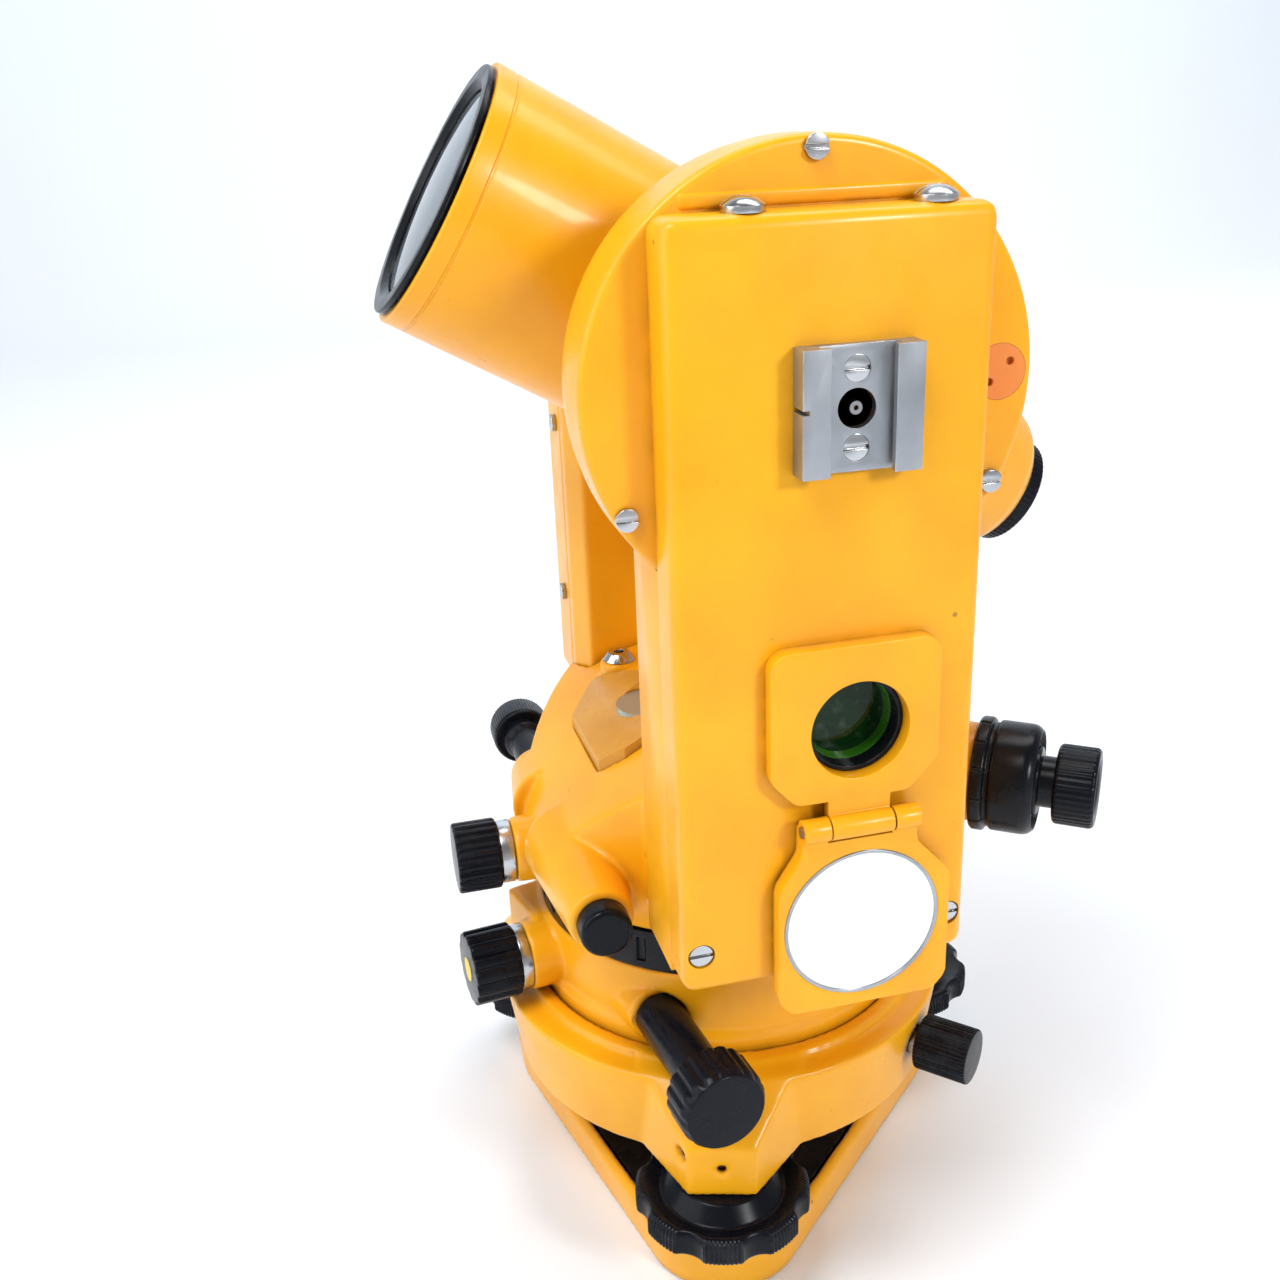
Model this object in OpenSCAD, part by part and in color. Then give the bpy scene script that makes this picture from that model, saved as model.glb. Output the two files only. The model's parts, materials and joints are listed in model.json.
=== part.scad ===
// Optical surveying theodolite on a three-screw tribrach.
// Millimetres. Z is up, the origin is the mouth of the tripod thread under the base plate.
// Heights are drawn from a datum base_z below that origin; standing() sets the drawing down on it.
// The circle housing and illumination window face -Y, the objective points to -X.

/* [Telescope] */
// Height of the trunnion axis above the drawing datum
trunnion_h = 245; // [244:0.5:248]
// Elevation of the telescope at rest, degrees
elevation = 30; // [10:1:40]
// Outer radius of the telescope barrel
barrel_r = 31; // [28:0.5:31]
// Trunnion axis to the objective end
objective_reach = 72; // [66:1:76]
// Trunnion axis to the back of the rear housing
housing_reach = 91.5; // [88:0.5:94]
// Outer radius of the focusing ring
focus_ring_r = 14; // [11:0.5:15]

/* [Standards] */
// Half width of the front standard and its box cover
box_half_w = 33; // [31:0.5:35]
// Bottom of the front standard and its box cover
box_bottom = 116.5; // [115:0.5:120]
// Top of the box cover
box_top = 279.5; // [276:0.5:281]
// Front face of the box cover, measured from the vertical axis
box_front = 83.2; // [82:0.2:85]
// Front face of the vertical circle cover, measured from the vertical axis
disc_front = 72.6; // [72:0.2:74]
// Radius of the vertical circle cover
disc_r = 47.3; // [46:0.1:48]
// Inner face of the front standard
front_gap = 53; // [48:1:55]
// Inner face of the rear standard
rear_gap = 34; // [33:1:36]
// Outer face of the rear cover
rear_back = 62; // [60:1:66]

/* [Illumination window] */
// Centre of the window, across the box
window_x = 5.4; // [4:0.2:7]
// Centre height of the window
window_z = 176.5; // [175:0.5:178]
// Radius of the window bore
window_r = 10.85; // [9:0.05:11]
// Radius of the mirror
mirror_r = 17.8; // [16:0.1:18]
// Thickness of the window plate and of the lid
lid_t = 3.8; // [3.4:0.1:4.2]

/* [Alidade] */
// Largest radius of the alidade drum
drum_r = 53.5; // [52:0.5:54]
// Radius of the vertical axis spindle
axis_r = 12; // [10:0.5:13]
// Radius of the circle orientation ring
ring_r = 49.5; // [48:0.5:49.5]

/* [Tribrach] */
// Radius of the circle through the three footscrews
footscrew_pcr = 63.4; // [62:0.2:64]
// Turn of the front footscrew from the -Y direction, degrees
tribrach_turn = -17; // [-20:1:-14]
// Radius of the footscrew knobs
footscrew_r = 22.2; // [20:0.2:23]
// Inner radius of the triangular base plate
base_rho = 46.4; // [45:0.2:48]
// Height of the base plate
base_h = 13.5; // [13:0.5:15]
// Bore radius of the 5/8 inch tripod thread, at its minor diameter
tripod_bore_r = 6.75; // [6.6:0.05:6.9]

/* [Hidden] */
$fn = 64;

enamel = [0.98, 0.62, 0.09];
black = [0.07, 0.07, 0.09];
steel = [0.72, 0.73, 0.75];
glass = [0.35, 0.55, 0.45];

run = 0.05;            // radial clearance of a running fit
wall = 3;              // wall of the cast covers
arm_turns = [0, 120, 240];

base_z = 12;           // underside of the base plate above the drawing datum
base_corner_r = 22;    // corner radius of the base plate outline
pocket_corner_r = 18.4;
base_wall = 2.9;
base_draft = 1;        // the foot of the base plate is this much smaller all round
base_bevel = 1.8;
base_floor = 4.2;      // heights from the underside of the base plate
spring_z = 11;
spring_t = 1.4;
ball_r = 4;            // foot ball and spindle of a footscrew
neck_r = 2.8;
nut_r = 7.5;
knob_z0 = 35;
knob_z1 = 43;
arm_z0 = 46;           // underside of the tribrach arms
body_r = 62.2;         // outer edge of the tribrach body
dish_z = 70;           // seat of the lower collar
dish_r = 51.6;
socket_r = 38;         // bore of the tribrach
grub_turn = -56;       // square to the flank of its arm
clamp_turn = -47;      // direction of the tribrach clamp
clamp_z = 60.5;
clamp_knob_at = 63.5;  // inner end of the clamp knob

collar_r = 50;
collar_top = 94;
ring_top = 105;
lower_z = 83;          // height of the lower clamp
lower_turn = 187;
tangent_z = 81.5;      // lower tangent screw
tangent_turn = -82.4;
tangent_at = [-29.5, -35, tangent_z];
tangent_back = 72;     // distance back to the opposing spring cap

alidade_z0 = 106;
arch_z = 100.2;         // the top of the alidade is a half cylinder along Y
arch_r = 54.5;
upper_clamp_z = 112;
drive_x = -44;         // upper tangent screw, parallel to Y
drive_z = 118.5;
plummet_turn = -37.3;
plummet_z = 137.5;
level_at = [-19, -4];
level_floor = 139;
screw_at = [-20, 24];  // level adjusting screw
screw_z = 153.2;

standard_w = 26;       // half width of the rear standard at its inner face
rear_w = 29;
rear_seam = 46;
round_housing_y = 60;
circle_r = 38;
axle_r = 12;
bush_r = 15;

hinge_y = -(box_front + lid_t + 0.6);
hinge_z = 155.2;
mirror_z = 130.8;
knuckle_half = 7;
hinge_r = 1.25;
knuckle_r = 2.65;
shoe_x = 3.9;
shoe_z = 243.2;
bolt_x = [-16, 22];
cover_screw_pcr = 44.9;
plug_x = 40;
rear_screw_z = [165, 215, 262];
side_knob_y = 54;
vertical_clamp_z = 205;
vertical_tangent_z = 178;
micrometer_z = 228;

// ---- helpers ----

// Cylinder along Y from y0 to y1, centred on x, z.
module ycyl(r, y0, y1, x = 0, z = 0, n = 64) {
    translate([x, y1, z]) rotate([90, 0, 0]) cylinder(r = r, h = y1 - y0, $fn = n);
}

// Outline drawn in x, z and extruded along Y from y0 to y1.
module yplate(y0, y1) {
    translate([0, y1, 0]) rotate([90, 0, 0]) linear_extrude(y1 - y0) children();
}

// Puts local +Z along an outward horizontal direction at a height.
module outward(turn, z) {
    translate([0, 0, z]) rotate([0, 0, turn]) rotate([0, 90, 0]) children();
}

// Puts local +Z along a horizontal direction from a point.
module heading(at, turn) {
    translate(at) rotate([0, 0, turn]) rotate([0, 90, 0]) children();
}

// Puts local +Z along the telescope, towards the objective.
module on_telescope() {
    translate([0, 0, trunnion_h]) rotate([0, elevation - 90, 0]) children();
}

// Repeats children at the three arms of the tribrach.
module at_arms() {
    for (turn = arm_turns) rotate([0, 0, 270 + tribrach_turn + turn]) children();
}

module at_arm(index) {
    rotate([0, 0, 270 + tribrach_turn + arm_turns[index]]) children();
}

module tube(r, bore, h) {
    difference() {
        cylinder(r = r, h = h);
        translate([0, 0, -1]) cylinder(r = bore, h = h + 2);
    }
}

// Rectangle with round corners, from low to high.
module rounded(low, high, r) {
    for (x = [low[0] + r, high[0] - r]) for (y = [low[1] + r, high[1] - r])
        translate([x, y]) circle(r, $fn = 32);
    translate([low[0] + r, low[1]]) square([high[0] - low[0] - 2 * r, high[1] - low[1]]);
    translate([low[0], low[1] + r]) square([high[0] - low[0], high[1] - low[1] - 2 * r]);
}

// Triangle prism with round corners; rho is its inner radius.
module round_triangle(rho, r, h) hull() at_arms() translate([2 * (rho - r), 0, 0])
    cylinder(r = r, h = h, $fn = 48);

// Slotted screw: head up at z 0, shank down.
module slotted_screw(head_r, head_h, shank_r, length) {
    difference() {
        cylinder(r = head_r, h = head_h, $fn = 32);
        translate([-head_r - 1, -0.4, head_h * 0.45]) cube([2 * head_r + 2, 0.8, head_h]);
    }
    translate([0, 0, -length]) cylinder(r = shank_r, h = length, $fn = 32);
}

// Knob with flutes cut along its side.
module fluted(r, h, flutes, flute_r, depth) {
    difference() {
        cylinder(r = r, h = h);
        for (i = [0 : flutes - 1]) rotate([0, 0, i * 360 / flutes])
            translate([r + flute_r - depth, 0, -1]) cylinder(r = flute_r, h = h + 2, $fn = 24);
    }
}

// Sets what is drawn above the datum down on its base plate.
module standing() {
    translate([0, 0, -base_z]) children();
}

// ---- base and tribrach ----

// Drafted blank of the base plate: narrower at the foot, with a small bevel on the rim.
module base_blank() hull() at_arms() translate([2 * (base_rho - base_corner_r), 0, 0]) {
    cylinder(r1 = base_corner_r - base_draft, r2 = base_corner_r, h = base_h - base_bevel, $fn = 48);
    cylinder(r = base_corner_r - base_bevel, h = base_h, $fn = 48);
}

module base_plate() color(enamel) translate([0, 0, base_z]) difference() {
    union() {
        difference() {
            base_blank();
            translate([0, 0, base_floor])
                round_triangle(base_rho - base_wall, pocket_corner_r, base_h);
        }
        translate([0, 0, base_floor - 1]) cylinder(r = 18, h = spring_z - base_floor + 1);
        at_arms() {
            translate([footscrew_pcr, 0, base_floor - 1]) cylinder(r = 6, h = 4);
            rotate([0, 0, 60]) translate([30, 0, base_floor - 1])
                cylinder(r = 5, h = spring_z - base_floor + 1);
        }
    }
    translate([0, 0, -1]) cylinder(r = tripod_bore_r, h = base_h + 2);
    at_arms() {
        translate([footscrew_pcr, 0, base_floor]) cylinder(r = ball_r + 0.7, h = 4);
        rotate([0, 0, 60]) translate([30, 0, base_floor]) cylinder(r = 2, h = 9);
    }
}

module spring_plate() color(black) translate([0, 0, base_z + spring_z]) difference() {
    round_triangle(base_rho - base_wall - 1, pocket_corner_r - 1, spring_t);
    translate([0, 0, -1]) cylinder(r = 15, h = spring_t + 2);
    at_arms() {
        translate([footscrew_pcr, 0, -1]) cylinder(r = neck_r + 0.5, h = spring_t + 2);
        rotate([0, 0, 60]) translate([30, 0, -1]) cylinder(r = 2.2, h = spring_t + 2);
    }
}

module spring_plate_screws() color(steel) at_arms() rotate([0, 0, 60])
    translate([30, 0, base_z + spring_z + spring_t]) slotted_screw(3.6, 1.8, 2, 6);

// One arm of the tribrach body, as a flat outline along +X.
module arm_outline() polygon([[25, 20.7], [54.8, 20.7], [73, 8.5], [73, -8.5], [54.8, -20.7], [25, -20.7]]);

module tribrach_body() color(enamel) difference() {
    intersection() {
        translate([0, 0, arm_z0]) union() {
            cylinder(r1 = body_r - 3.8, r2 = body_r, h = 25);
            cylinder(r = dish_r + 4, h = 40);
            linear_extrude(40) at_arms() arm_outline();
        }
        rotate_extrude() polygon([
            [0, arm_z0 - 1], [82, arm_z0 - 1], [82, 52.2], [body_r - 0.1, 70.2],
            [61, 71.2], [56.8, 71.9], [55.6, 73], [0, 73]
        ]);
    }
    translate([0, 0, dish_z]) cylinder(r = dish_r, h = 10);
    translate([0, 0, arm_z0 - 1]) cylinder(r = socket_r, h = 40);
    at_arms() translate([footscrew_pcr, 0, 0]) {
        translate([0, 0, arm_z0 - 1]) cylinder(r = nut_r, h = 17);
        heading([0, 0, 56.5], grub_turn) cylinder(r = 2, h = 30, $fn = 32);
        heading([0, 0, 54], 0) cylinder(r = 1.3, h = 30, $fn = 24);
    }
    outward(clamp_turn, clamp_z) translate([0, 0, socket_r - 3]) cylinder(r = 4 + run, h = 40);
}

module footscrew_nuts() color(steel) at_arms() translate([footscrew_pcr, 0, arm_z0])
    tube(nut_r, ball_r + run, 16);

module arm_grub_screws() color(steel) at_arms() translate([footscrew_pcr, 0, 0])
    heading([0, 0, 56.5], grub_turn) translate([0, 0, nut_r + 0.2]) difference() {
        cylinder(r = 2, h = 3.4, $fn = 32);
        translate([0, 0, 2]) cylinder(r = 1, h = 3, $fn = 6);
    }

module footscrew_knob() color(black) translate([footscrew_pcr, 0, 0]) difference() {
    union() {
        translate([0, 0, knob_z0]) rotate([0, 0, 22.5]) fluted(footscrew_r, knob_z1 - knob_z0, 8, 8, 2.2);
        translate([0, 0, knob_z1]) cylinder(r = 11, h = arm_z0 - 0.2 - knob_z1);
        translate([0, 0, knob_z0 - 5]) cylinder(r = 9, h = 5);
    }
    translate([0, 0, knob_z0 - 6]) cylinder(r = ball_r, h = 40);
}

module footscrew_spindle() color(steel) translate([footscrew_pcr, 0, 0]) {
    translate([0, 0, base_z + base_floor + ball_r]) {
        sphere(ball_r);
        cylinder(r = neck_r, h = 8);
        translate([0, 0, 7]) cylinder(r = ball_r, h = 31);
    }
}

module footscrew_knob_front() at_arm(0) footscrew_knob();
module footscrew_knob_right() at_arm(1) footscrew_knob();
module footscrew_knob_left() at_arm(2) footscrew_knob();
module footscrew_spindle_front() at_arm(0) footscrew_spindle();
module footscrew_spindle_right() at_arm(1) footscrew_spindle();
module footscrew_spindle_left() at_arm(2) footscrew_spindle();

module tribrach_clamp_screw() color(steel) outward(clamp_turn, clamp_z)
    translate([0, 0, socket_r + 0.6]) cylinder(r = 4, h = 28);

module tribrach_clamp_knob() color(black) outward(clamp_turn, clamp_z)
    translate([0, 0, clamp_knob_at]) difference() {
        cylinder(r = 7.4, h = 13.5);
        translate([0, 0, -1]) cylinder(r = 4, h = socket_r + 29.6 - clamp_knob_at);
    }

// ---- lower unit ----

module lower_collar() color(enamel) difference() {
    union() {
        rotate_extrude() polygon([
            [0, 50], [socket_r - run - 0.05, 50], [socket_r - run - 0.05, dish_z], [51.2, dish_z],
            [51.2, 76], [collar_r, 78], [collar_r, collar_top], [0, collar_top]
        ]);
        outward(lower_turn, lower_z) translate([0, 0, 30]) cylinder(r = 9.4, h = 27.5);
        difference() {
            heading(tangent_at, tangent_turn) translate([0, 0, -36]) cylinder(r1 = 12, r2 = 7.4, h = 41.5);
            translate([-100, -100, 40]) cube([200, 200, 33.4]);
        }
        heading(tangent_at, tangent_turn) translate([0, 0, -tangent_back]) cylinder(r = 8.4, h = 26);
        translate([-48.5, 5, 79]) rotate([0, 0, 15.5]) translate([-7.5, -9, 0]) cube([15, 18, 14.5]);
    }
    translate([0, 0, lower_z + 2]) cylinder(r = 45, h = 20);
    translate([0, 0, 40]) cylinder(r = axis_r + run, h = 60);
    outward(lower_turn, lower_z) translate([0, 0, 47]) cylinder(r = 3 + run, h = 20);
    heading(tangent_at, tangent_turn) translate([0, 0, -14]) cylinder(r = 3 + run, h = 30);
    heading(tangent_at, tangent_turn) {
        translate([0, 0, 5.6]) cylinder(r = 6.6, h = 30);
        translate([0, 0, -tangent_back - 1]) cylinder(r = 5, h = 30);
        translate([0, 0, -tangent_back - 5]) cylinder(r = 8, h = 5);
    }
}

module orientation_ring() color(black) difference() {
    translate([0, 0, collar_top]) cylinder(r = ring_r, h = ring_top - collar_top);
    translate([0, 0, collar_top - 1]) cylinder(r = 45, h = 20);
    for (i = [0 : 35]) rotate([0, 0, i * 10]) translate([ring_r + 0.7, 0, collar_top + 2])
        cylinder(r = 1.6, h = 7, $fn = 16);
}

module horizontal_circle() color(glass) translate([0, 0, lower_z + 2])
    tube(35, axis_r + 2, 4);

module lower_clamp_collar() color(steel) outward(lower_turn, lower_z)
    translate([0, 0, 57.5]) tube(9, 3 + run, 3);

module lower_clamp_knob() color(black) outward(lower_turn, lower_z) {
    translate([0, 0, 60.7]) fluted(10, 12.6, 12, 2, 0.9);
    translate([0, 0, 47.5]) cylinder(r = 3, h = 14);
}

module lower_tangent_knob() color(black) heading(tangent_at, tangent_turn) {
    translate([0, 0, 36]) fluted(10.8, 11, 12, 2.4, 0.9);
    translate([0, 0, 5.9]) cylinder(r = 6.2, h = 30.5);
    translate([0, 0, -13]) cylinder(r = 3, h = 18);
}

module lower_spring_cap() color(steel) heading(tangent_at, tangent_turn)
    translate([0, 0, -tangent_back - 3]) {
        cylinder(r = 7.6, h = 3);
        cylinder(r = 5, h = 24.5);
    }

// ---- alidade ----

drum_profile = [
    [0, alidade_z0], [50, alidade_z0], [drum_r, alidade_z0 + 8], [drum_r, 170], [0, 170]
];

module arch(extra = 0) ycyl(arch_r + extra, -60, 60, 0, arch_z, 96);

// Outline of the level window, seen from above.
module level_outline() polygon([
    [-36.5, 12], [-36, -18], [-30, -22], [-7, -22], [-7, 5], [-16, 11], [-26, 21], [-29, 21]
]);

// Room for the rear standard's foot.
module rear_foot(extra = 0) translate([0, 0, 140 - extra]) linear_extrude(60)
    polygon([[-standard_w, rear_gap], [standard_w, rear_gap], [rear_w, rear_gap + 8],
        [rear_w, 80], [-rear_w, 80], [-rear_w, rear_gap + 8]]);

module alidade_body() color(enamel) difference() {
    union() {
        intersection() {
            union() {
                rotate_extrude() polygon(drum_profile);
                translate([-box_half_w + 2, -front_gap, box_bottom])
                    cube([2 * box_half_w - 4, 36, 50]);
            }
            arch();
        }
        translate([screw_at[0], screw_at[1], screw_z - 12]) cylinder(r = 5.4, h = 12, $fn = 32);
        outward(180, upper_clamp_z) translate([0, 0, 47]) cylinder(r = 8.8, h = 10.5);
        translate([drive_x, -12, drive_z]) rotate([90, 0, 0]) cylinder(r1 = 12, r2 = 8, h = 39.5);
        translate([drive_x, 10, drive_z]) rotate([-90, 0, 0]) cylinder(r1 = 11, r2 = 8, h = 21);
        outward(plummet_turn, plummet_z) translate([0, 0, 36]) cylinder(r = 12.5, h = 35);
    }
    translate([-100, -front_gap - 40, 100]) cube([200, 40, 100]);
    translate([0, 0, alidade_z0 - 10]) cylinder(r = ring_r + 0.6, h = 10);
    translate([0, 0, alidade_z0 - 1]) cylinder(r = 41, h = 7);
    translate([0, 0, 111]) cylinder(r = 26, h = 23);
    rear_foot();
    translate([0, 0, level_floor]) linear_extrude(40) level_outline();
    outward(180, upper_clamp_z) translate([0, 0, 46]) cylinder(r = 3 + run, h = 20);
    ycyl(3 + run, 13, 60, drive_x, drive_z);
    ycyl(5.3, 31.05, 60, drive_x, drive_z);
    ycyl(4, -60, -44, drive_x, drive_z);
    outward(plummet_turn, plummet_z) translate([0, 0, 20]) cylinder(r = 9, h = 60);
    translate([screw_at[0], screw_at[1], screw_z - 6]) cylinder(r = 2.5, h = 10, $fn = 32);
}

module vertical_axis() color(steel) {
    translate([0, 0, 54]) cylinder(r = axis_r, h = 56);
    translate([0, 0, alidade_z0]) cylinder(r = 41, h = 6);
}

module front_standard() color(enamel) difference() {
    union() {
        translate([-box_half_w, -disc_front, box_bottom])
            cube([2 * box_half_w, disc_front - front_gap, trunnion_h - box_bottom]);
        ycyl(disc_r - 0.8, -round_housing_y, -front_gap, 0, trunnion_h, 96);
    }
    ycyl(disc_r + 0.02, -disc_front - 1, -round_housing_y, 0, trunnion_h, 96);
    ycyl(bush_r, -80, -40, 0, trunnion_h);
    for (turn = [90, 210, 330])
        ycyl(1.3, -round_housing_y - 1, -round_housing_y + 5, cover_screw_pcr * cos(turn),
            trunnion_h + cover_screw_pcr * sin(turn), 24);
    translate([-box_half_w + 5, -disc_front - 1, box_bottom + 12])
        cube([2 * box_half_w - 10, 17, 60]);
}

module rear_outline(w, top) polygon([
    [-w, 140], [w, 140], [w, top - 14], [w - 14, top], [-w + 14, top], [-w, top - 14]
]);

module rear_standard() color(enamel) difference() {
    intersection() {
        translate([0, 0, 140]) linear_extrude(200)
            polygon([[-standard_w, rear_gap], [standard_w, rear_gap], [rear_w, rear_gap + 8],
                [rear_w, rear_seam], [-rear_w, rear_seam], [-rear_w, rear_gap + 8]]);
        yplate(rear_gap - 1, rear_seam) rear_outline(rear_w, box_top);
    }
    ycyl(bush_r, rear_gap - 5, rear_seam + 5, 0, trunnion_h);
    translate([-20, rear_seam - 7, 155]) cube([40, 10, 70]);
}

module trunnion_bushes() color(steel) translate([0, 0, trunnion_h]) rotate([90, 0, 0]) {
    translate([0, 0, front_gap]) tube(bush_r, axle_r + run, round_housing_y - front_gap);
    translate([0, 0, -rear_seam]) tube(bush_r, axle_r + run, rear_seam - rear_gap);
}

module front_cover() color(enamel) difference() {
    union() {
        difference() {
            yplate(-box_front, -disc_front - 0.02)
                rounded([-box_half_w, box_bottom], [box_half_w, box_top], 5.5);
            yplate(-box_front + wall, -disc_front + 1)
                rounded([-box_half_w + wall, box_bottom + wall], [box_half_w - wall, box_top - wall], 3);
        }
        ycyl(window_r + 2.4, -box_front + 1, -disc_front - 0.02, window_x, window_z);
        for (x = bolt_x) translate([x - 4, -box_front + 1, box_top - 9]) cube([8, 9.5, 8]);
    }
    ycyl(window_r, -100, -60, window_x, window_z);
    for (x = bolt_x) translate([x, -77.8, box_top - 8]) cylinder(r = 2, h = 20, $fn = 32);
    for (x = [-28.8, 28.8]) {
        ycyl(1.5, -100, -60, x, 126, 24);
        ycyl(3, -box_front - 1, -box_front + 1.6, x, 126, 32);
    }
    ycyl(3.9, -100, -box_front + wall + 1, shoe_x, shoe_z);
    for (dz = [-7.6, 7.6]) ycyl(1.4, -100, -box_front + wall + 1, shoe_x, shoe_z + dz, 24);
}

module front_cover_screws() color(steel) for (x = [-28.8, 28.8])
    translate([x, -box_front + 1.6, 126]) rotate([90, 0, 0]) slotted_screw(2.6, 1.2, 1.5, 8.5);

module top_bolts() color(steel) for (x = bolt_x) translate([x, -77.8, box_top]) {
    intersection() {
        slotted_screw(4.2, 2.9, 2, 7);
        translate([0, 0, -3]) union() {
            sphere(6);
            translate([0, 0, -10]) cylinder(r = 5, h = 12);
        }
    }
}

module circle_cover() color(enamel) difference() {
    union() {
        ycyl(disc_r, -disc_front, -round_housing_y, 0, trunnion_h, 96);
        translate([-26, -disc_front - 0.7, box_top + 0.2]) cube([52, 2, 3.6]);
    }
    ycyl(41.6, -disc_front + wall, -round_housing_y + 1, 0, trunnion_h, 96);
    ycyl(5.8, -disc_front - 1, -disc_front + wall + 2, plug_x, trunnion_h);
    for (turn = [90, 210, 330])
        ycyl(1.3, -disc_front - 1, -50, cover_screw_pcr * cos(turn),
            trunnion_h + cover_screw_pcr * sin(turn), 24);
}

module cover_screws() color(steel) {
    for (turn = [90, 210, 330])
        translate([cover_screw_pcr * cos(turn), -disc_front, trunnion_h + cover_screw_pcr * sin(turn)])
            rotate([90, 0, 0]) slotted_screw(2.4, 1.3, 1.3, 15);
    for (side = [-1, 1]) for (z = rear_screw_z)
        translate([side * rear_w, rear_seam + 6, z]) rotate([0, side * 90, 0])
            slotted_screw(2.4, 1.3, 1.3, 3);
}

module rear_cover() color(enamel) difference() {
    union() {
        difference() {
            yplate(rear_seam, rear_back) rear_outline(rear_w, box_top);
            yplate(rear_seam - 1, rear_back - wall) intersection() {
                rear_outline(rear_w - wall, box_top - wall);
                translate([-50, 140 + wall]) square([100, 200]);
            }
        }
        ycyl(8, rear_back - wall - 4, rear_back + 2, 12, micrometer_z);
        for (z = [vertical_clamp_z, vertical_tangent_z])
            heading([rear_w - wall - 4, side_knob_y, z], 0) cylinder(r = 7.5, h = wall + 8);
    }
    for (side = [-1, 1]) for (z = rear_screw_z)
        translate([side * rear_w, rear_seam + 6, z]) rotate([0, side * 90, 0])
            translate([0, 0, -6]) cylinder(r = 1.3, h = 12, $fn = 24);
    ycyl(3 + run, 50, 80, 12, micrometer_z);
    for (z = [vertical_clamp_z, vertical_tangent_z])
        heading([20, side_knob_y, z], 0) cylinder(r = 3 + run, h = 30);
}

// ---- fittings of the box cover ----

module accessory_shoe() color([0.6, 0.62, 0.65]) difference() {
    translate([shoe_x - 12.2, -box_front - 5.4, shoe_z - 12.2]) cube([24.4, 5.4, 24.4]);
    translate([shoe_x - 8, -box_front - 3.8, shoe_z - 20]) cube([16, 1.9, 40]);
    translate([shoe_x - 6.6, -box_front - 8, shoe_z - 20]) cube([13.2, 6.1, 40]);
    ycyl(3.9, -100, -70, shoe_x, shoe_z);
    for (dz = [-7.6, 7.6]) {
        ycyl(1.4, -100, -70, shoe_x, shoe_z + dz, 24);
        ycyl(2.7, -100, -box_front - 0.7, shoe_x, shoe_z + dz, 32);
    }
    translate([shoe_x - 13, -100, shoe_z + 0.2]) cube([2.2, 30, 0.9]);
}

module shoe_screws() color(steel) for (dz = [-7.6, 7.6])
    translate([shoe_x, -box_front - 0.7, shoe_z + dz]) rotate([90, 0, 0])
        slotted_screw(2.7, 1.1, 1.4, 3.6);

module shoe_contact() color(steel) difference() {
    union() {
        ycyl(3.9, -box_front, -box_front + 4.2, shoe_x, shoe_z);
        ycyl(1.3, -box_front - 1.4, -box_front, shoe_x, shoe_z, 32);
    }
    ycyl(0.5, -100, -box_front + 1, shoe_x, shoe_z, 16);
}

// Window plate: rounded at the top, cut at the bottom corners, with a hinge knuckle below.
module window_plate() color(enamel) difference() {
    union() {
        yplate(-box_front - lid_t, -box_front) polygon([
            [window_x - 14, 161], [window_x + 11, 161], [window_x + 17.6, 168],
            [window_x + 17.6, 193], [window_x + 15.1, 195.5], [window_x - 17, 195.5],
            [window_x - 19.6, 193], [window_x - 19.6, 167]
        ]);
        translate([window_x, hinge_y, hinge_z]) rotate([0, 90, 0])
            translate([0, 0, -knuckle_half]) cylinder(r = knuckle_r, h = 2 * knuckle_half);
        translate([window_x - knuckle_half, -box_front - lid_t, hinge_z])
            cube([2 * knuckle_half, 2.6, 9]);
    }
    ycyl(window_r, -100, -60, window_x, window_z);
    translate([window_x - 20, hinge_y, hinge_z]) rotate([0, 90, 0]) cylinder(r = hinge_r, h = 40);
}

module window_glass() color([0.1, 0.5, 0.15]) ycyl(window_r, -77, -74.6, window_x, window_z);

module mirror_lid() color(enamel) difference() {
    union() {
        yplate(hinge_y - 0.2, hinge_y - 0.2 + lid_t) polygon([
            [window_x - 15, 110], [window_x + 18, 110], [window_x + 21.2, 113.5],
            [window_x + 21.2, 140], [window_x + 13, 149], [window_x + 13, hinge_z],
            [window_x - 13, hinge_z], [window_x - 13, 149], [window_x - 18.2, 141],
            [window_x - 18.2, 113.5]
        ]);
        translate([window_x - 13, hinge_y, hinge_z]) rotate([0, 90, 0])
            cylinder(r = knuckle_r, h = 26);
    }
    translate([window_x - knuckle_half - 0.3, -110, hinge_z - 3.4]) cube([2 * knuckle_half + 0.6, 50, 20]);
    translate([window_x - 20, hinge_y, hinge_z]) rotate([0, 90, 0])
        cylinder(r = hinge_r + run, h = 40);
    ycyl(mirror_r, -110, hinge_y - 0.2 + 1.5, window_x + 0.8, mirror_z);
}

module mirror_glass() color("white")
    ycyl(mirror_r, hinge_y - 0.1, hinge_y - 0.2 + 1.5, window_x + 0.8, mirror_z);

module lid_hinge_pin() color(steel) translate([window_x - 13.4, hinge_y, hinge_z])
    rotate([0, 90, 0]) cylinder(r = hinge_r, h = 26.8);

module spanner_plug() color([0.95, 0.45, 0.1]) difference() {
    ycyl(5.8, -disc_front - 0.1, -disc_front + wall, plug_x, trunnion_h);
    for (side = [-1, 1])
        ycyl(0.8, -disc_front - 1, -disc_front + 1.2, plug_x + 2.2 * side, trunnion_h + 2 * side, 16);
}

// ---- fittings of the alidade ----

module level_bezel() color([0.98, 0.72, 0.3]) difference() {
    intersection() {
        translate([0, 0, level_floor]) linear_extrude(40) level_outline();
        arch(2);
    }
    translate([level_at[0], level_at[1], 143]) cylinder(r = 8.5, h = 20);
    translate([level_at[0], level_at[1], 152]) cylinder(r1 = 8.5, r2 = 16, h = 7);
}

module level_vial() color([0.8, 0.9, 0.75]) translate([level_at[0], level_at[1], 143])
    cylinder(r = 8.5, h = 8.4);

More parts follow.
